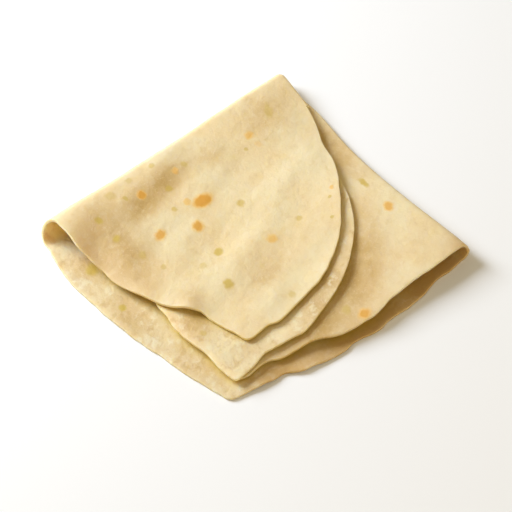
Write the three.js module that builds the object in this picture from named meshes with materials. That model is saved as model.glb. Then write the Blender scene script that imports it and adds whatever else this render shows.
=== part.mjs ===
// A thin, soft, round flatbread, folded twice like a handkerchief and laid on its lowest layer.
//
// The bread is one sheet. The right fold lays the second layer over the bottom one, and the left
// fold then brings the two upper layers over those. Both folds start at the same closed corner.
// The upper layers are joined only for a short way beside that corner, and their free edges part
// from there. The folds are tight at the corner and open into loose curls at their far ends.
//
// Millimetres, +Z up. The origin is the middle of the underside's bounding box.

import * as THREE from 'three';

// Overall sizes
const LEFT_FOLD_LENGTH = 186; // closed corner to the open left end
const RIGHT_FOLD_LENGTH = 179; // closed corner to the open right end
const FOLD_ANGLE = THREE.MathUtils.degToRad(79); // between the two folds, seen from above
const LEFT_FOLD_HEADING = THREE.MathUtils.degToRad(-134); // from +X, seen from above

// The sheet, and how its layers lie on each other
const BREAD_THICKNESS = 1.5;
const LAYER_GAP = 0.45; // air between two layers that lie on each other
const JOINED_LENGTH = 28; // of the two upper layers, from the corner to where their edges part

// The folds stand open as curls, and the layer over a curl comes down again over its reach.
// The left curl's rise is shared between the bottom layer, the inner fold and the top layer.
const CORNER_CURL_RISE = 3.4; // above the stacked layers, where the left fold starts
const LEFT_CURL_RISE = 9.8; // at the left fold's open end
const LEFT_CURL_GROWTH = 2.2; // above 1, a curl opens mostly near its open end
const BOTTOM_CURL = { share: 0.1, reach: 12 };
const INNER_CURL = { share: 0.3, reach: 38 };
const TOP_CURL = { share: 0.6, cornerReach: 17, reach: 36, widensOver: 60 };
const RIGHT_CURL_RISE = 8; // at the right fold's open end
const RIGHT_CURL_REACH = 85;
const RIGHT_CURL_START = 0.11; // of the fold's length, where the layers start to part
const RIGHT_CURL_GROWTH = 1.25;

// Past the left edges of the two layers inside the left fold, the top layer drapes down onto the
// bottom one. The drape starts on a slanted line, given in shares of the folds' lengths.
const DRAPE = { atFold: 0.806, atEnd: 0.906, end: 0.436, width: 22, afterFold: 6, settlesOver: 24 };

// The right fold line isn't quite straight: it bows in twice and out near the corner.
// Each bow lies at a share of the fold's length and fades over its reach along the fold.
const BOWS = [
  { depth: 2.2, at: 0.53, reach: 38 },
  { depth: 1.3, at: 0.86, reach: 34 },
  { depth: -3.1, at: 0.15, reach: 27 },
];
const BOW_FADE = 60; // away from the fold

// A short wave where the top layer's left edge is lifted, placed in shares of both folds' lengths
const WAVE = { lift: 2.6, alongLeft: 0.844, alongRight: 0.553, reachLeft: 16, reachRight: 14 };

// How finely the sheet is divided
const LAYER_CELLS = 18; // across each layer, each way
const RIGHT_FOLD_CELLS = 6; // around a fold
const LEFT_FOLD_CELLS = 8;
const TIP_ROUNDING = 0.07; // of a layer's side
const FACING_STEP = 0.02; // of a cell, over which the sheet's slope is measured
const FACING_INSET = 0.5; // of a cell in from the rim, as a round tip's last cell has no corner

const LAYER_PITCH = BREAD_THICKNESS + LAYER_GAP;

// Each layer's free edges, in shares of the left and the right fold's length: one edge runs from
// the right fold to the layer's tip, and the other from the left fold to the same tip.
const EDGES = {
  bottom: {
    right: [
      [0, 0.975], [0.12, 0.988], [0.25, 1.006], [0.39, 1.003], [0.53, 0.988], [0.682, 0.949],
      [0.773, 0.912], [0.919, 0.875],
    ],
    left: [
      [1.022, 0], [1.041, 0.127], [1.036, 0.265], [1.017, 0.446], [0.985, 0.598],
      [0.944, 0.778], [0.919, 0.875],
    ],
  },
  second: {
    right: [
      [0, 0.975], [0.12, 0.978], [0.293, 0.967], [0.45, 0.962], [0.589, 0.905], [0.705, 0.879],
      [0.76, 0.853], [0.86, 0.86],
    ],
    left: [[0.77, 0], [0.8, 0.2], [0.86, 0.36], [0.875, 0.6], [0.86, 0.86]],
  },
  third: {
    right: [
      [0.024, JOINED_LENGTH / RIGHT_FOLD_LENGTH], [0.078, 0.328], [0.113, 0.49],
      [0.155, 0.597], [0.248, 0.713], [0.411, 0.818], [0.585, 0.868], [0.738, 0.837],
      [0.874, 0.853],
    ],
    left: [
      [0.77, 0], [0.8, 0.2], [0.865, 0.36], [0.892, 0.44], [0.901, 0.56], [0.884, 0.7],
      [0.874, 0.853],
    ],
  },
  top: {
    right: [
      [0.024, JOINED_LENGTH / RIGHT_FOLD_LENGTH], [0.074, 0.337], [0.09, 0.423],
      [0.143, 0.516], [0.27, 0.667], [0.428, 0.757], [0.609, 0.784], [0.675, 0.77],
      [0.757, 0.771],
    ],
    left: [
      [0.982, 0], [0.955, 0.18], [0.94, 0.31], [0.895, 0.445], [0.833, 0.55], [0.801, 0.625],
      [0.757, 0.771],
    ],
  },
};

/** A smooth curve through an edge's points, in millimetres along the two folds. */
function edgeCurve(points) {
  const size = new THREE.Vector2(LEFT_FOLD_LENGTH, RIGHT_FOLD_LENGTH);
  return new THREE.SplineCurve(points.map(([u, v]) => new THREE.Vector2(u, v).multiply(size)));
}

const LAYERS = {};
for (const [name, edge] of Object.entries(EDGES)) {
  LAYERS[name] = { right: edgeCurve(edge.right), left: edgeCurve(edge.left) };
}

/** Turns the square corner at (1, 1) of a layer's cells into a round tip. */
function roundTip(s, t) {
  const start = 1 - TIP_ROUNDING;
  if (s <= start || t <= start) {
    return [s, t];
  }
  const x = (s - start) / TIP_ROUNDING;
  const y = (t - start) / TIP_ROUNDING;
  return [
    start + TIP_ROUNDING * x * Math.sqrt(1 - (y * y) / 2),
    start + TIP_ROUNDING * y * Math.sqrt(1 - (x * x) / 2),
  ];
}

/** A place on a layer, from 0 at the folds to 1 at the free edges: a Coons patch from the corner. */
function placeOnLayer(name, share, shareAlong) {
  const [s, t] = roundTip(share, shareAlong);
  const { right, left } = LAYERS[name];
  const place = new THREE.Vector2();
  place.addScaledVector(right.getPointAt(s), t);
  place.addScaledVector(left.getPointAt(t), s);
  place.addScaledVector(right.getPointAt(1), -s * t);
  return place;
}

/** 1 at the middle, falling smoothly to 0 over the given reach. */
function bell(distance, reach) {
  return Math.exp(-((distance / reach) ** 2));
}

const mix = THREE.MathUtils.lerp;

function rise(share) {
  return THREE.MathUtils.smoothstep(share, 0, 1);
}

/** How far the left fold stands open, a given way along it. */
function leftCurl(u) {
  const opened = Math.max(u / LEFT_FOLD_LENGTH, 0) ** LEFT_CURL_GROWTH;
  return mix(CORNER_CURL_RISE, LEFT_CURL_RISE, opened);
}

/** How far the right fold stands open, a given way along it. */
function rightCurl(v) {
  const share = (v / RIGHT_FOLD_LENGTH - RIGHT_CURL_START) / (1 - RIGHT_CURL_START);
  return RIGHT_CURL_RISE * rise(share) ** RIGHT_CURL_GROWTH;
}

// The height of each layer's middle surface, from the distances along the left and right folds
function bottomHeight(u, v) {
  return BREAD_THICKNESS / 2 + BOTTOM_CURL.share * leftCurl(u) * bell(v, BOTTOM_CURL.reach);
}

function secondHeight(u, v) {
  return bottomHeight(u, v) + LAYER_PITCH + rightCurl(v) * bell(u, RIGHT_CURL_REACH);
}

function thirdHeight(u, v) {
  const curl = INNER_CURL.share * leftCurl(u) * bell(v, INNER_CURL.reach);
  return secondHeight(u, v) + LAYER_PITCH + curl;
}

function topHeight(u, v) {
  const alongDrape = Math.min(v / (DRAPE.end * RIGHT_FOLD_LENGTH), 1);
  const drapeStart = mix(DRAPE.atFold, DRAPE.atEnd, alongDrape) * LEFT_FOLD_LENGTH;
  const offFold = rise((v - DRAPE.afterFold) / DRAPE.settlesOver);
  const draped = rise((u - drapeStart) / DRAPE.width) * offFold;
  const bed = mix(thirdHeight(u, v), bottomHeight(u, v), draped);
  const reach = mix(TOP_CURL.cornerReach, TOP_CURL.reach, rise(u / TOP_CURL.widensOver));
  const curl = TOP_CURL.share * leftCurl(u) * bell(v, reach);
  const fromWaveU = u - WAVE.alongLeft * LEFT_FOLD_LENGTH;
  const fromWaveV = v - WAVE.alongRight * RIGHT_FOLD_LENGTH;
  const wave = WAVE.lift * bell(fromWaveU, WAVE.reachLeft) * bell(fromWaveV, WAVE.reachRight);
  return bed + LAYER_PITCH + curl + wave;
}

/** How far the right fold line lies from straight, towards the bread, a given way along it. */
function rightBow(v) {
  const depths = BOWS.map((bow) => bow.depth * bell(v - bow.at * RIGHT_FOLD_LENGTH, bow.reach));
  return depths.reduce((sum, depth) => sum + depth, 0);
}

/** Splits a place across the sheet into its share of a layer and its turn around a fold. */
function acrossFold(place, foldCells) {
  if (place >= 0) {
    return { share: place / LAYER_CELLS, turn: 0 };
  }
  if (place > -foldCells) {
    return { share: 0, turn: (Math.PI * -place) / foldCells };
  }
  return { share: (-place - foldCells) / LAYER_CELLS, turn: Math.PI };
}

const leftWay = new THREE.Vector2(Math.cos(LEFT_FOLD_HEADING), Math.sin(LEFT_FOLD_HEADING));
const rightHeading = LEFT_FOLD_HEADING + FOLD_ANGLE;
const rightWay = new THREE.Vector2(Math.cos(rightHeading), Math.sin(rightHeading));
// Level directions out of the two fold lines, towards the bread
const offLeftFold = new THREE.Vector2(-leftWay.y, leftWay.x);
const offRightFold = new THREE.Vector2(rightWay.y, -rightWay.x);

/** The middle surface. Column and row count cells from the two fold lines of the flat sheet. */
function middleOfBread(column, row) {
  const over = acrossFold(column, RIGHT_FOLD_CELLS); // over the right fold
  const back = acrossFold(row, LEFT_FOLD_CELLS); // back over the left fold
  const lifted = (1 - Math.cos(over.turn)) / 2; // 0 on the bottom layer, 1 on the second
  const turned = (1 - Math.cos(back.turn)) / 2; // 0 on the lower layers, 1 on the upper ones
  const lower = lifted > 0.5 ? 'second' : 'bottom';
  const upper = lifted > 0.5 ? 'third' : 'top';
  const below = placeOnLayer(lower, over.share, back.turn < Math.PI ? back.share : 0);
  const above = placeOnLayer(upper, over.share, back.turn > 0 ? back.share : 0);
  const place = below.lerp(above, turned);
  place.x += rightBow(place.y) * bell(place.x, BOW_FADE);
  const u = place.x;
  const v = place.y;

  const lowHeight = mix(bottomHeight(u, v), secondHeight(u, v), lifted);
  const highHeight = mix(topHeight(u, v), thirdHeight(u, v), lifted);
  const leftRadius = (highHeight - lowHeight) / 2;
  const lowOpening = secondHeight(0, v) - bottomHeight(0, v);
  const highOpening = topHeight(0, v) - thirdHeight(0, v);
  const rightRadius = mix(lowOpening, highOpening, turned) / 2;

  const spot = new THREE.Vector2();
  spot.addScaledVector(leftWay, u);
  spot.addScaledVector(rightWay, v);
  spot.addScaledVector(offLeftFold, -leftRadius * Math.sin(back.turn));
  spot.addScaledVector(offRightFold, -rightRadius * Math.sin(over.turn));
  return new THREE.Vector3(spot.x, spot.y, mix(lowHeight, highHeight, turned));
}

/** The direction straight out of the upper face that the sheet has before it is folded. */
function outOfBread(column, row) {
  const rim = LAYER_CELLS - FACING_INSET;
  const c = THREE.MathUtils.clamp(column, -rim - RIGHT_FOLD_CELLS, rim);
  const r = THREE.MathUtils.clamp(row, -rim - LEFT_FOLD_CELLS, rim);
  const step = FACING_STEP;
  const alongColumns = middleOfBread(c + step, r).sub(middleOfBread(c - step, r));
  const alongRows = middleOfBread(c, r + step).sub(middleOfBread(c, r - step));
  return alongColumns.cross(alongRows).normalize();
}

/** The whole bread: a flat divided slab whose every corner is moved to its folded place. */
function foldedBread() {
  const columns = 2 * LAYER_CELLS + RIGHT_FOLD_CELLS;
  const rows = 2 * LAYER_CELLS + LEFT_FOLD_CELLS;
  const slab = new THREE.BoxGeometry(columns, rows, BREAD_THICKNESS, columns, rows, 1);
  const corners = slab.getAttribute('position');
  for (let i = 0; i < corners.count; i += 1) {
    const column = Math.round(corners.getX(i) + columns / 2) - LAYER_CELLS - RIGHT_FOLD_CELLS;
    const row = Math.round(corners.getY(i) + rows / 2) - LAYER_CELLS - LEFT_FOLD_CELLS;
    const side = corners.getZ(i);
    const corner = middleOfBread(column, row).addScaledVector(outOfBread(column, row), side);
    corners.setXYZ(i, corner.x, corner.y, corner.z);
  }
  slab.computeBoundingBox();
  const box = slab.boundingBox;
  slab.translate(-(box.min.x + box.max.x) / 2, -(box.min.y + box.max.y) / 2, -box.min.z);
  slab.computeVertexNormals();
  return slab;
}

const bakedDough = new THREE.MeshStandardMaterial({ color: 0xe9d3a1, roughness: 0.75, metalness: 0 });

const roti = new THREE.Mesh(foldedBread(), bakedDough);
roti.name = 'roti';

const group = new THREE.Group();
group.add(roti);

export default group;
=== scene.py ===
# A soft, thin flatbread, folded twice like a handkerchief and laid down on its lowest layer.

import bisect
import math

import bmesh
import bpy
from mathutils import Matrix, Vector, noise


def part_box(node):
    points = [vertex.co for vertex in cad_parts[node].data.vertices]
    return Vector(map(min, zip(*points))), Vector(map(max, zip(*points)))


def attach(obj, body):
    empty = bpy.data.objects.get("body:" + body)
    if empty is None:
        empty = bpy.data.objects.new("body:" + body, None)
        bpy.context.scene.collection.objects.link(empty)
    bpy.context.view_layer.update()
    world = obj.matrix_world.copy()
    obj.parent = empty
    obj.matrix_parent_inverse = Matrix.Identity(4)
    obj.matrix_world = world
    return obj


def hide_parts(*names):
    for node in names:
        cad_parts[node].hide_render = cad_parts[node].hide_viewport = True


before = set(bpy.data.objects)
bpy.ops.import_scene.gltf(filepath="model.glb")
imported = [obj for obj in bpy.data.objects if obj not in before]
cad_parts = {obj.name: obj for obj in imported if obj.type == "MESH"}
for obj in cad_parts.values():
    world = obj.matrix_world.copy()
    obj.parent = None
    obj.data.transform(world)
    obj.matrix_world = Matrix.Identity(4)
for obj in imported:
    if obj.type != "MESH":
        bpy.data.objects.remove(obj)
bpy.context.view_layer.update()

mm = 0.001

# ---------------------------------------------------------------------------------------------
# The bread. It is one round sheet of wheat dough, rolled out thin, baked on a hot dome until it
# blisters and scorches in spots, and folded in four while it is still soft. It is modelled as
# its middle surface: a flat grid whose every corner is moved to its folded place.

left_fold_length = 186 * mm
right_fold_length = 179 * mm
fold_angle = math.radians(79)
left_fold_heading = math.radians(-134)
bread_thickness = 1.5 * mm
layer_gap = 0.45 * mm
joined_length = 28 * mm  # of the two upper layers, beside the closed corner
layer_pitch = bread_thickness + layer_gap

# Each layer's free edges, in shares of the two folds' lengths: one edge runs from the right fold
# to the layer's tip, and the other from the left fold to the same tip.
joined = joined_length / right_fold_length
free_edges = {
    "bottom": (
        [(0, 0.988), (0.053, 0.993), (0.12, 0.99), (0.181, 1.003), (0.25, 1.006), (0.334, 0.999),
         (0.39, 1.005), (0.476, 0.985), (0.53, 0.989), (0.613, 0.969), (0.682, 0.949),
         (0.724, 0.918), (0.773, 0.912), (0.883, 0.886), (0.919, 0.875)],
        [(1.022, 0), (1.033, 0.057), (1.041, 0.127), (1.042, 0.19), (1.036, 0.265),
         (1.029, 0.359), (1.017, 0.446), (1.005, 0.513), (0.985, 0.598), (0.969, 0.685),
         (0.944, 0.778), (0.919, 0.875)],
    ),
    "second": (
        [(0, 0.982), (0.046, 0.979), (0.12, 0.978), (0.2, 0.97), (0.293, 0.967), (0.379, 0.974),
         (0.45, 0.962), (0.515, 0.946), (0.589, 0.905), (0.657, 0.889), (0.705, 0.879),
         (0.76, 0.853), (0.86, 0.86)],
        [(0.77, 0), (0.8, 0.2), (0.86, 0.36), (0.875, 0.6), (0.86, 0.86)],
    ),
    "third": (
        [(0.024, joined), (0.043, 0.239), (0.078, 0.328), (0.098, 0.413), (0.113, 0.49),
         (0.132, 0.548), (0.155, 0.597), (0.195, 0.658), (0.248, 0.713), (0.333, 0.778),
         (0.411, 0.818), (0.498, 0.845), (0.585, 0.868), (0.667, 0.851), (0.738, 0.837),
         (0.8, 0.848), (0.874, 0.853)],
        [(0.77, 0), (0.8, 0.2), (0.865, 0.36), (0.89, 0.44), (0.893, 0.5), (0.901, 0.56),
         (0.897, 0.63), (0.884, 0.7), (0.883, 0.77), (0.874, 0.853)],
    ),
    "top": (
        [(0.024, joined), (0.046, 0.247), (0.074, 0.337), (0.09, 0.423), (0.143, 0.516),
         (0.219, 0.614), (0.27, 0.667), (0.358, 0.725), (0.428, 0.757), (0.509, 0.77),
         (0.609, 0.784), (0.641, 0.784), (0.675, 0.77), (0.714, 0.772), (0.757, 0.771)],
        [(0.981, 0), (0.976, 0.09), (0.963, 0.16), (0.951, 0.22), (0.947, 0.27), (0.94, 0.31),
         (0.922, 0.372), (0.895, 0.445), (0.862, 0.512), (0.833, 0.55), (0.809, 0.583),
         (0.801, 0.625), (0.789, 0.67), (0.757, 0.771)],
    ),
}


class EdgeCurve:
    """A smooth curve through an edge's points, walked at an even pace from 0 to 1."""

    def __init__(self, points, steps=60):
        p = [Vector((u * left_fold_length, v * right_fold_length)) for u, v in points]
        p = [p[0]] + p + [p[-1]]
        self.places = [p[1].copy()]
        for before, start, end, after in zip(p, p[1:], p[2:], p[3:]):
            for step in range(1, steps + 1):
                t = step / steps
                pull_in, pull_out = (end - before) / 2, (after - start) / 2
                self.places.append(
                    (2 * start - 2 * end + pull_in + pull_out) * t ** 3
                    + (3 * end - 3 * start - 2 * pull_in - pull_out) * t ** 2
                    + pull_in * t + start
                )
        self.way = [0.0]
        for here, there in zip(self.places, self.places[1:]):
            self.way.append(self.way[-1] + (there - here).length)

    def at(self, share):
        target = share * self.way[-1]
        i = min(max(bisect.bisect_right(self.way, target), 1), len(self.way) - 1)
        part = (target - self.way[i - 1]) / (self.way[i] - self.way[i - 1])
        return self.places[i - 1].lerp(self.places[i], part)


edge_curves = {name: [EdgeCurve(edge) for edge in pair] for name, pair in free_edges.items()}

tip_rounding = {"bottom": 0.026, "second": 0.05, "third": 0.014, "top": 0.02}  # of a side


def round_tip(s, t, rounding):
    """Turns the square corner at (1, 1) of a layer into a round tip."""
    start = 1 - rounding
    if s <= start or t <= start:
        return s, t
    x, y = (s - start) / rounding, (t - start) / rounding
    return (
        start + rounding * x * math.sqrt(1 - y * y / 2),
        start + rounding * y * math.sqrt(1 - x * x / 2),
    )


def place_on_layer(name, share, share_along):
    """A place on a layer, from 0 at the folds to 1 at the free edges."""
    s, t = round_tip(share, share_along, tip_rounding[name])
    right, left = edge_curves[name]
    return right.at(s) * t + left.at(t) * s - right.at(1) * (s * t)


def bell(distance, reach):
    return math.exp(-((distance / reach) ** 2))


def rise(share):
    share = min(max(share, 0.0), 1.0)
    return share * share * (3 - 2 * share)


def mix(a, b, share):
    return a + (b - a) * share


# The folds are tight at the closed corner and stand open as curls at their far ends. A reach is
# how far across the layers a curl comes down again. The left curl's rise is shared out between
# the bottom layer, the inner fold and the top layer.
corner_curl_rise = 2.8 * mm
left_curl_rise = 9.8 * mm
left_curl_growth = 2.2  # above 1, a curl opens mostly near its open end
bottom_curl_share, bottom_curl_reach = 0.1, 12 * mm
inner_curl_share, inner_curl_reach = 0.3, 38 * mm
top_curl_share, top_curl_reach_at_corner, top_curl_reach = 0.6, 17 * mm, 42 * mm
top_curl_widens_over = 60 * mm
right_curl_rise = 8 * mm
right_curl_start = 0.11  # of the fold's length, where the layers start to part
right_curl_growth = 1.25
right_curl_reach = 85 * mm


def left_curl(u):
    opened = max(u / left_fold_length, 0) ** left_curl_growth
    return mix(corner_curl_rise, left_curl_rise, opened)


def right_curl(v):
    along = (v / right_fold_length - right_curl_start) / (1 - right_curl_start)
    return right_curl_rise * rise(along) ** right_curl_growth


# Past the left edges of the two layers inside the left fold, the top layer drapes down onto the
# bottom one. The drape starts on a slanted line, at these distances from the right fold.
drape_at_fold = 150 * mm
drape_at_end = 168.5 * mm
drape_end = 78 * mm  # from the left fold, where the line stops slanting
drape_width = 22 * mm
drape_after_fold = 4 * mm
drape_settles_over = 44 * mm
draped_lift_lost = 0.7  # of the swells and lumps, where the top layer has draped down

# Soft swells where the baked sheet doesn't lie flat: how far from the right fold and from the left
# fold, the reach along and across the swell, its turn in degrees and its lift. All lengths are in
# millimetres.
bottom_swells = [
    (150, 163, 9, 7, 0, 1.2),
    (122, 172, 10, 7, 0, 0.8),
    (186, 70, 9, 20, 0, 0.5),
]
second_swells = [
    (105, 160, 12, 9, 0, 1.0),
    (62, 172, 14, 9, 0, 0.6),
]
third_swells = [
    (66, 142, 30, 12, 10, 1.6),
    (120, 150, 20, 10, 0, 0.8),
    (26, 108, 9, 24, 0, 0.6),
    (160, 112, 8, 12, 0, 0.5),
]
top_swells = [
    (157, 99, 13, 9, 45, 2.6),
    (130, 60, 24, 12, 14, 0.8),
    (100, 88, 32, 11, 14, 1.6),
    (58, 66, 30, 10, 14, 0.9),
    (38, 92, 12, 18, 0, 0.7),
    (112, 128, 18, 9, 14, 1.1),
    (22, 42, 10, 14, 0, 0.4),
]


def swell(swells, u, v):
    total = 0.0
    for at_u, at_v, along, across, turned, lift in swells:
        aside_u, aside_v = u / mm - at_u, v / mm - at_v
        cos, sin = math.cos(math.radians(turned)), math.sin(math.radians(turned))
        near = bell(aside_u * cos + aside_v * sin, along)
        total += lift * mm * near * bell(aside_v * cos - aside_u * sin, across)
    return total


def lumps(u, v, size, seed):
    """Between 0 and 1, smooth and uneven, with lumps of about the given size."""
    spot = Vector((u / size, v / size, seed))
    return 0.5 + 0.5 * max(-1.0, min(1.0, noise.noise(spot, noise_basis="PERLIN_ORIGINAL")))


def uneven(u, v, seed):
    """Low lumps, drawn out along the left fold as the sheet relaxes after folding."""
    across = v - 0.25 * u
    broad = lumps(0.5 * u, across, 22 * mm, seed)
    fine = lumps(0.7 * u, across, 9 * mm, seed + 7)
    return (1.2 * broad + 0.4 * fine) * mm * rise((u + 10 * mm) / (40 * mm))


def bottom_height(u, v):
    curl = bottom_curl_share * left_curl(u) * bell(v, bottom_curl_reach)
    return bread_thickness / 2 + curl + 0.3 * uneven(u, v, 1) + swell(bottom_swells, u, v)


def second_height(u, v):
    curl = right_curl(v) * bell(u, right_curl_reach)
    lift = 0.5 * uneven(u, v, 2) + swell(second_swells, u, v)
    return bottom_height(u, v) + layer_pitch + curl + lift


def third_height(u, v):
    curl = inner_curl_share * left_curl(u) * bell(v, inner_curl_reach)
    lift = 0.4 * uneven(u, v, 3) + swell(third_swells, u, v)
    return second_height(u, v) + layer_pitch + curl + lift


def top_height(u, v):
    """The top layer drapes over the edges of the two layers inside the left fold."""
    drape_start = mix(drape_at_fold, drape_at_end, min(v / drape_end, 1))
    past = rise((u - drape_start) / drape_width)
    past *= rise((v - drape_after_fold) / drape_settles_over)
    bed = mix(third_height(u, v), bottom_height(u, v), past)
    reach = mix(top_curl_reach_at_corner, top_curl_reach, rise(u / top_curl_widens_over))
    curl = top_curl_share * left_curl(u) * bell(v, reach)
    lift = uneven(u, v, 4) + swell(top_swells, u, v)
    return bed + layer_pitch + curl + lift * (1 - draped_lift_lost * past)


# The right fold line isn't quite straight: it bows in twice and out near the corner. Each bow has
# its depth in millimetres, its place as a share of the fold and its reach in millimetres.
right_bows = [(2.2, 0.53, 38), (2.0, 0.77, 34), (-3.1, 0.17, 24)]
bow_fade = 60 * mm  # away from the fold


def right_bow(v):
    return sum(
        depth * mm * bell(v - at * right_fold_length, reach * mm) for depth, at, reach in right_bows
    )


layer_cells = 92  # across each layer, each way
right_fold_turn = 4 * mm  # of the unfolded sheet, on each side of a fold's middle
left_fold_turn = 6 * mm
right_fold_cells = 14
left_fold_cells = 18


def across_fold(place, fold_cells):
    """Splits a place across the sheet into its share of a layer and its turn round a fold."""
    if place >= 0:
        return place / layer_cells, 0.0
    if place > -fold_cells:
        return 0.0, math.pi * -place / fold_cells
    return (-place - fold_cells) / layer_cells, math.pi


left_way = Vector((math.cos(left_fold_heading), math.sin(left_fold_heading)))
right_heading = left_fold_heading + fold_angle
right_way = Vector((math.cos(right_heading), math.sin(right_heading)))
off_left_fold = Vector((-left_way.y, left_way.x))
off_right_fold = Vector((right_way.y, -right_way.x))


ragged_depth = 0.9 * mm
ragged_from = 0.93  # of the way from the fold to the free edge
wide_rag, narrow_rag = 9 * mm, 5 * mm


def stray(u, v, seed):
    wide = lumps(u, v, wide_rag, seed) - 0.5
    return wide + 0.6 * (lumps(u, v, narrow_rag, seed + 1) - 0.5)


def ragged(u, v, s, t):
    """How far a free edge strays from its smooth line, which is nothing away from the edge."""
    near = rise((max(s, t) - ragged_from) / (1 - ragged_from)) * rise((u - 2 * mm) / (14 * mm))
    return Vector((stray(u, v, 11), stray(u, v, 13))) * (ragged_depth * near)


def fold(column, row):
    """Where a corner of the flat sheet lies once folded, and its place on the unfolded sheet."""
    s, over = across_fold(column, right_fold_cells)
    t, back = across_fold(row, left_fold_cells)
    lifted, turned = (1 - math.cos(over)) / 2, (1 - math.cos(back)) / 2
    lower, upper = ("second", "third") if lifted > 0.5 else ("bottom", "top")
    below = place_on_layer(lower, s, t if back < math.pi else 0)
    above = place_on_layer(upper, s, t if back > 0 else 0)
    place = below.lerp(above, turned)
    other_rag = 0.3 if turned > 0.5 else 0  # so that a lower and an upper edge stray differently
    u, v = place + ragged(place.x, place.y + other_rag, s, t)
    u += right_bow(v) * bell(u, bow_fade)

    low = mix(bottom_height(u, v), second_height(u, v), lifted)
    high = mix(top_height(u, v), third_height(u, v), lifted)
    left_radius = (high - low) / 2
    low_opening = second_height(0, v) - bottom_height(0, v)
    high_opening = top_height(0, v) - third_height(0, v)
    right_radius = mix(low_opening, high_opening, turned) / 2

    spot = left_way * u + right_way * v
    spot -= off_left_fold * (left_radius * math.sin(back))
    spot -= off_right_fold * (right_radius * math.sin(over))
    flat_u = (u + right_fold_turn) * math.cos(over)
    flat_v = (v + left_fold_turn) * math.cos(back)
    return Vector((spot.x, spot.y, mix(low, high, turned))), (flat_u, flat_v)


sheet = bmesh.new()
columns = 2 * layer_cells + right_fold_cells
rows = 2 * layer_cells + left_fold_cells
bmesh.ops.create_grid(sheet, x_segments=columns, y_segments=rows, size=1)
unfolded = {}
for corner in sheet.verts:
    column = round((corner.co.x + 1) / 2 * columns) - layer_cells - right_fold_cells
    row = round((corner.co.y + 1) / 2 * rows) - layer_cells - left_fold_cells
    corner.co, unfolded[corner] = fold(column, row)
sheet_map = sheet.loops.layers.uv.new("sheet")
for face in sheet.faces:
    face.smooth = True
    for loop in face.loops:
        loop[sheet_map].uv = unfolded[loop.vert]

lowest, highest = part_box("roti")
spots = [corner.co for corner in sheet.verts]
middle_x = (min(p.x for p in spots) + max(p.x for p in spots)) / 2
middle_y = (min(p.y for p in spots) + max(p.y for p in spots)) / 2
shift = Vector(((lowest.x + highest.x) / 2 - middle_x, (lowest.y + highest.y) / 2 - middle_y,
                bread_thickness / 2 - min(p.z for p in spots)))
bmesh.ops.translate(sheet, verts=sheet.verts, vec=shift)

bread_mesh = bpy.data.meshes.new("folded_bread")
sheet.to_mesh(bread_mesh)
sheet.free()
bread = bpy.data.objects.new("folded_bread", bread_mesh)
bpy.context.collection.objects.link(bread)

crust = bread.modifiers.new("thickness", "SOLIDIFY")
crust.thickness = bread_thickness
crust.offset = 0
rim = bread.modifiers.new("soft rim", "BEVEL")
rim.width = 0.55 * mm
rim.segments = 2
rim.limit_method = "ANGLE"
rim.angle_limit = math.radians(55)
rim.harden_normals = False

# The baked surface: pale cream dough with a slightly uneven tone, a bloom of flour, small
# translucent blisters and scorched spots. Light soaks a little way into it.
dough = bpy.data.materials.new("baked_dough")
dough.use_nodes = True
tree = dough.node_tree
surface = tree.nodes["Principled BSDF"]


def node(kind, **settings):
    new = tree.nodes.new(kind)
    for name, value in settings.items():
        setattr(new, name, value)
    return new


def wire(value, socket):
    if isinstance(value, bpy.types.NodeSocket):
        tree.links.new(value, socket)
    else:
        socket.default_value = value


def patches(place, size, detail=2.0, rough=0.5, seed=0.0):
    """An uneven pattern between 0 and 1, whose patches are about the given size."""
    moved = node("ShaderNodeVectorMath", operation="ADD")
    wire(place, moved.inputs[0])
    moved.inputs[1].default_value = (seed, seed * 1.7, seed * 0.6)
    pattern = node("ShaderNodeTexNoise", noise_dimensions="3D")
    wire(moved.outputs[0], pattern.inputs["Vector"])
    pattern.inputs["Scale"].default_value = 1 / size
    pattern.inputs["Detail"].default_value = detail
    pattern.inputs["Roughness"].default_value = rough
    return pattern


def ramp(value, low, high, to_low=0.0, to_high=1.0):
    """Turns the given range of values into another, smoothly and without leaving it."""
    turn = node("ShaderNodeMapRange", interpolation_type="SMOOTHSTEP")
    wire(value, turn.inputs["Value"])
    turn.inputs["From Min"].default_value = low
    turn.inputs["From Max"].default_value = high
    turn.inputs["To Min"].default_value = to_low
    turn.inputs["To Max"].default_value = to_high
    return turn.outputs["Result"]


def sums(operation, a, b):
    new = node("ShaderNodeMath", operation=operation)
    wire(a, new.inputs[0])
    wire(b, new.inputs[1])
    return new.outputs[0]


def tinted(colour, share, tint):
    """A colour with a tint laid over it by the given share."""
    new = node("ShaderNodeMix", data_type="RGBA", clamp_factor=True)
    wire(share, new.inputs["Factor"])
    wire(colour, new.inputs["A"])
    wire(tint, new.inputs["B"])
    return new.outputs["Result"]


on_sheet = node("ShaderNodeUVMap", uv_map="sheet").outputs["UV"]

# The same place, moved a little at random, which gives the spots uneven rims.
spot_raggedness = 3.2 * mm
wander = patches(on_sheet, 4 * mm, detail=3.0)
centred = node("ShaderNodeVectorMath", operation="SUBTRACT")
wire(wander.outputs["Color"], centred.inputs[0])
centred.inputs[1].default_value = (0.5, 0.5, 0.5)
scaled = node("ShaderNodeVectorMath", operation="SCALE")
wire(centred.outputs[0], scaled.inputs[0])
scaled.inputs["Scale"].default_value = spot_raggedness
strayed = node("ShaderNodeVectorMath", operation="ADD")
wire(on_sheet, strayed.inputs[0])
wire(scaled.outputs[0], strayed.inputs[1])
uneven_place = strayed.outputs[0]

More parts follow.
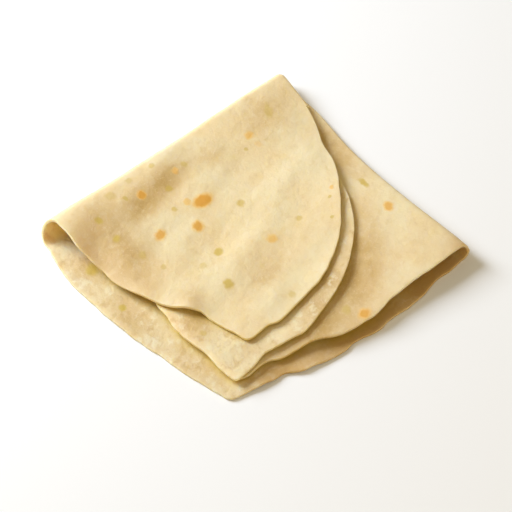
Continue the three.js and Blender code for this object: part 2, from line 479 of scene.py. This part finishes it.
# Each spot: its place on the unfolded sheet, how long and wide it is, its turn in degrees and
# how strong it is. The place counts along the left fold and then along the right fold, below 0
# past the right fold and past the left fold.
scorched = [
    (100.1, -42.7, 15.6, 10.4, 8, 1.0), (114.1, -55.6, 9.1, 9.1, 30, 0.88),
    (136.1, -45.4, 7.8, 9.8, 60, 0.83), (128.0, -15.6, 6.5, 7.2, 0, 0.94),
    (46.4, -23.5, 7.2, 6.5, 0, 0.66), (85.3, -93.5, 7.3, 7.3, 0, 0.66),
    (108.2, -37.5, 5.2, 5.9, 0, 0.55), (100.4, -15.0, 4.7, 5.7, 0, 0.66),
    (32.8, -89.9, 3.9, 3.9, 0, 0.66), (45.9, -32.1, 4.7, 5.2, 0, 0.28),
    (-13.2, 122.3, 7.3, 9.1, 20, 0.77), (-75.2, 169.5, 9.1, 7.8, 0, 0.83),
]
blistered = [
    (115.8, -78.1, 6.5, 6.5, 0, 0.92), (82.9, -59.5, 5.5, 6.5, 0, 0.69),
    (125.7, -100.4, 7.2, 7.9, 20, 0.92), (161.0, -15.0, 5.0, 5.3, 0, 1.0),
    (111.4, -22.1, 4.6, 6.0, 0, 0.8), (118.0, -36.4, 4.3, 4.3, 0, 0.69),
    (92.7, -14.3, 4.1, 5.3, 0, 0.57), (110.0, -2.7, 4.1, 4.1, 0, 0.57),
    (128.6, -2.8, 5.5, 4.8, 0, 0.46), (144.9, -5.3, 7.2, 6.7, 0, 0.4),
    (138.0, -11.9, 2.9, 3.4, 0, 0.69), (24.4, -16.4, 6.0, 13.2, 30, 0.52),
    (54.4, -30.6, 3.4, 3.4, 0, 0.69), (62.8, -93.0, 4.8, 4.8, 0, 0.63),
    (38.5, -94.8, 3.4, 2.6, 0, 0.69), (47.0, -107.2, 3.4, 2.6, 0, 0.69),
    (159.0, -30.8, 5.3, 5.3, 0, 0.92), (153.2, -49.2, 4.8, 6.7, 0, 0.46),
    (148.3, -64.1, 3.8, 4.3, 0, 0.46), (128.9, -79.6, 5.5, 5.5, 0, 0.46),
    (101.4, -132.0, 5.0, 5.0, 0, 0.52), (-12.0, 97.0, 4.3, 9.6, 0, 0.92),
    (-81.5, 160.0, 6.5, 6.7, 0, 0.57), (181.2, 65.2, 5.3, 5.5, 0, 1.0),
    (-157.3, -115.0, 4.8, 4.8, 0, 0.57), (178.4, 30.1, 10.4, 8.4, 40, 1.0),
]

# Painted shade: broad, soft golden patches that darken the dough where shade falls on the layers.
painted_shade_patches = [
    (123, -19, 88, 26, -10, 1.0), (77, -19, 34, 20, -10, 0.6), (29, -18, 44, 44, 0, 0.5),
    (105, -112, 44, 22, -14, 0.5), (163, -38, 50, 84, 10, 0.85), (152, -92, 30, 22, 20, 0.5),
    (-62, 140, 110, 58, -39, 1.0), (-105, 158, 96, 40, -5, 1.0), (-8, 61, 26, 84, 0, 0.85),
    (180, 32, 34, 44, 0, 0.6), (180, 75, 30, 84, 0, 0.5), (170, 128, 30, 64, 0, 0.45),
    (135, 158, 74, 24, 0, 0.7), (85, 168, 84, 26, 0, 0.9), (30, 172, 74, 36, 0, 1.0),
    (-80, -139, 92, 24, 24, 0.8), (-141, -141, 28, 20, 0, 0.5), (-155, -106, 28, 22, 0, 1.0),
]

# Painted shade: a deeper golden-brown along the lowest layer's edge and inside the open right fold,
# where that strip lies in shade.
painted_shade_strip = [
    (20, 174, 80, 34, 0, 0.8), (78, 170, 96, 30, 0, 0.9), (128, 162, 60, 26, -10, 0.7),
]


def spotted(spot_list, soft):
    """How strongly a place is spotted: 1 in the middle of the strongest spot."""
    strongest = 0.0
    for u, v, long, wide, turned, strength in spot_list:
        into_spot = node("ShaderNodeMapping", vector_type="TEXTURE")
        wire(uneven_place, into_spot.inputs["Vector"])
        flat_u = u * mm + math.copysign(right_fold_turn, u)
        flat_v = v * mm + math.copysign(left_fold_turn, v)
        into_spot.inputs["Location"].default_value = (flat_u, flat_v, 0)
        into_spot.inputs["Rotation"].default_value = (0, 0, math.radians(turned))
        into_spot.inputs["Scale"].default_value = (long / 2 * mm, wide / 2 * mm, 1)
        away = node("ShaderNodeVectorMath", operation="LENGTH")
        wire(into_spot.outputs[0], away.inputs[0])
        strongest = sums("MAXIMUM", ramp(away.outputs["Value"], 1.25, soft, 0, strength), strongest)
    return strongest


broad = patches(on_sheet, 42 * mm, detail=1.5).outputs["Fac"]
blotchy = patches(uneven_place, 13 * mm, detail=3.0, seed=1.3).outputs["Fac"]
freckly = patches(uneven_place, 4.5 * mm, detail=2.0, seed=2.9).outputs["Fac"]
grainy = patches(on_sheet, 1.1 * mm, detail=2.0, seed=4.1).outputs["Fac"]
mottled = patches(uneven_place, 7 * mm, detail=4.0, rough=0.6, seed=5.7).outputs["Fac"]

# The bottom and the third layer show the face that lay on the dome, which baked less evenly.
split = node("ShaderNodeSeparateXYZ")
wire(on_sheet, split.inputs[0])
same_side = sums("MULTIPLY", split.outputs["X"], split.outputs["Y"])
dome_side = ramp(same_side, -10 * mm * mm, 10 * mm * mm, 0.3, 1.0)

cream = (0.87, 0.705, 0.435, 1)
warm_cream = (0.85, 0.635, 0.35, 1)
butter = (0.82, 0.60, 0.26, 1)
flour = (0.93, 0.82, 0.58, 1)
golden_tone_and_shade = (0.58, 0.385, 0.14, 1)
blister = (0.64, 0.465, 0.115, 1)
toasted = (0.88, 0.51, 0.11, 1)
scorch = (0.68, 0.32, 0.045, 1)
painted_crease_shade_colour = (0.75, 0.56, 0.08, 1)
painted_shade_brown = (0.50, 0.30, 0.09, 1)

colour = tinted(cream, ramp(broad, 0.40, 0.66, 0, 0.75), warm_cream)
colour = tinted(colour, ramp(blotchy, 0.52, 0.72, 0, 0.35), butter)
colour = tinted(colour, ramp(freckly, 0.60, 0.74, 0, 0.25), butter)
# Painted shade: the golden patches darken the colour where shade falls; the same golden also tints
# the dome side's mottling.
painted_shade = sums("MULTIPLY", spotted(painted_shade_patches, 0.12), ramp(blotchy, 0.3, 0.62, 0.65, 1.0))
colour = tinted(colour, painted_shade, golden_tone_and_shade)
colour = tinted(colour, ramp(grainy, 0.56, 0.74, 0, 0.2), flour)
colour = tinted(colour, sums("MULTIPLY", dome_side, ramp(mottled, 0.52, 0.68, 0, 0.55)), flour)
colour = tinted(colour, sums("MULTIPLY", dome_side, ramp(mottled, 0.48, 0.32, 0, 0.45)), golden_tone_and_shade)
# Painted shade: the lowest layer's strip along the open right fold is darkened towards
# golden-brown.
colour = tinted(colour, spotted(painted_shade_strip, 0.3), painted_shade_brown)
blisters = spotted(blistered, 0.5)
scorches = spotted(scorched, 0.45)
colour = tinted(colour, blisters, blister)
colour = tinted(colour, scorches, toasted)
colour = tinted(colour, ramp(scorches, 0.55, 1.0, 0, 0.75), scorch)
# Painted shade: an occlusion node tints the dough golden where layers lie close, in the folds and
# between the layers.
closeness = node("ShaderNodeAmbientOcclusion", samples=8, only_local=True)
closeness.inputs["Distance"].default_value = 9 * mm
painted_crease_shade = ramp(closeness.outputs["AO"], 0.95, 0.25, 0, 0.6)
colour = tinted(colour, painted_crease_shade, painted_crease_shade_colour)
wire(colour, surface.inputs["Base Color"])

wire(ramp(grainy, 0.35, 0.7, 0.52, 0.68), surface.inputs["Roughness"])
surface.inputs["Subsurface Weight"].default_value = 0.7
surface.inputs["Subsurface Radius"].default_value = (0.9, 0.82, 0.42)
surface.inputs["Subsurface Scale"].default_value = 3 * mm
surface.inputs["Specular IOR Level"].default_value = 0.3

pores = node("ShaderNodeBump")
pores.inputs["Strength"].default_value = 0.25
pores.inputs["Distance"].default_value = 0.12 * mm
wire(grainy, pores.inputs["Height"])
pimples = node("ShaderNodeBump")
pimples.inputs["Strength"].default_value = 0.6
pimples.inputs["Distance"].default_value = 0.6 * mm
blobs = sums("ADD", freckly, sums("MULTIPLY", sums("MULTIPLY", mottled, dome_side), 1.6))
wire(sums("ADD", blobs, sums("MULTIPLY", scorches, 0.4)), pimples.inputs["Height"])
wire(pores.outputs["Normal"], pimples.inputs["Normal"])
wire(pimples.outputs["Normal"], surface.inputs["Normal"])

bread_mesh.materials.append(dough)
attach(bread, "root")
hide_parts("roti")

# ---------------------------------------------------------------------------------------------
# The floor: a plain, pale, matt sheet under the bread.

floor_size = 3.0

slab = bmesh.new()
bmesh.ops.create_grid(slab, x_segments=1, y_segments=1, size=floor_size / 2)
floor_mesh = bpy.data.meshes.new("floor")
slab.to_mesh(floor_mesh)
slab.free()
floor = bpy.data.objects.new("floor", floor_mesh)
bpy.context.collection.objects.link(floor)
pale = bpy.data.materials.new("pale_floor")
pale.use_nodes = True
pale.node_tree.nodes["Principled BSDF"].inputs["Base Color"].default_value = (0.93, 0.93, 0.93, 1)
pale.node_tree.nodes["Principled BSDF"].inputs["Roughness"].default_value = 0.9
floor_mesh.materials.append(pale)

# ---------------------------------------------------------------------------------------------
# The studio: one large soft lamp from the upper left, a little behind the bread, a weak, warm one
# from the front right, even warm surroundings, and a long lens looking down from the front.

studio = bpy.data.worlds.new("studio")
studio.use_nodes = True
studio.node_tree.nodes["Background"].inputs["Color"].default_value = (1, 0.84, 0.56, 1)
studio.node_tree.nodes["Background"].inputs["Strength"].default_value = 0.36
bpy.context.scene.world = studio
bpy.context.scene.view_settings.view_transform = "Standard"


def aimed(obj, place, target):
    """Stands a lamp or the camera at a place, looking at a target."""
    place, target = Vector(place), Vector(target)
    turn = (target - place).to_track_quat("-Z", "Y").to_matrix().to_4x4()
    obj.matrix_world = Matrix.Translation(place) @ turn
    bpy.context.collection.objects.link(obj)


def softbox(name, place, size, power, colour):
    lamp = bpy.data.lights.new(name, "AREA")
    lamp.shape = "SQUARE"
    lamp.size = size
    lamp.energy = power
    lamp.color = colour
    aimed(bpy.data.objects.new(name, lamp), place, (0, 0, 0))


softbox("window_lamp", (-1.05, 0.55, 0.76), 0.7, 27.0, (0.92, 1.0, 1.13))
softbox("weak_lamp", (0.8, -0.95, 0.6), 1.0, 4.5, (1.0, 0.9, 0.7))

view_elevation = math.radians(45.25)
view_distance = 1.59
looked_at = Vector((0.0006, -0.0295, 0.012))
lens = bpy.data.cameras.new("camera")
lens.lens = 200
lens.sensor_width = 36
lens.clip_start = 0.05
back_off = Vector((0, -math.cos(view_elevation), math.sin(view_elevation))) * view_distance
camera = bpy.data.objects.new("camera", lens)
aimed(camera, looked_at + back_off, looked_at)
bpy.context.scene.camera = camera
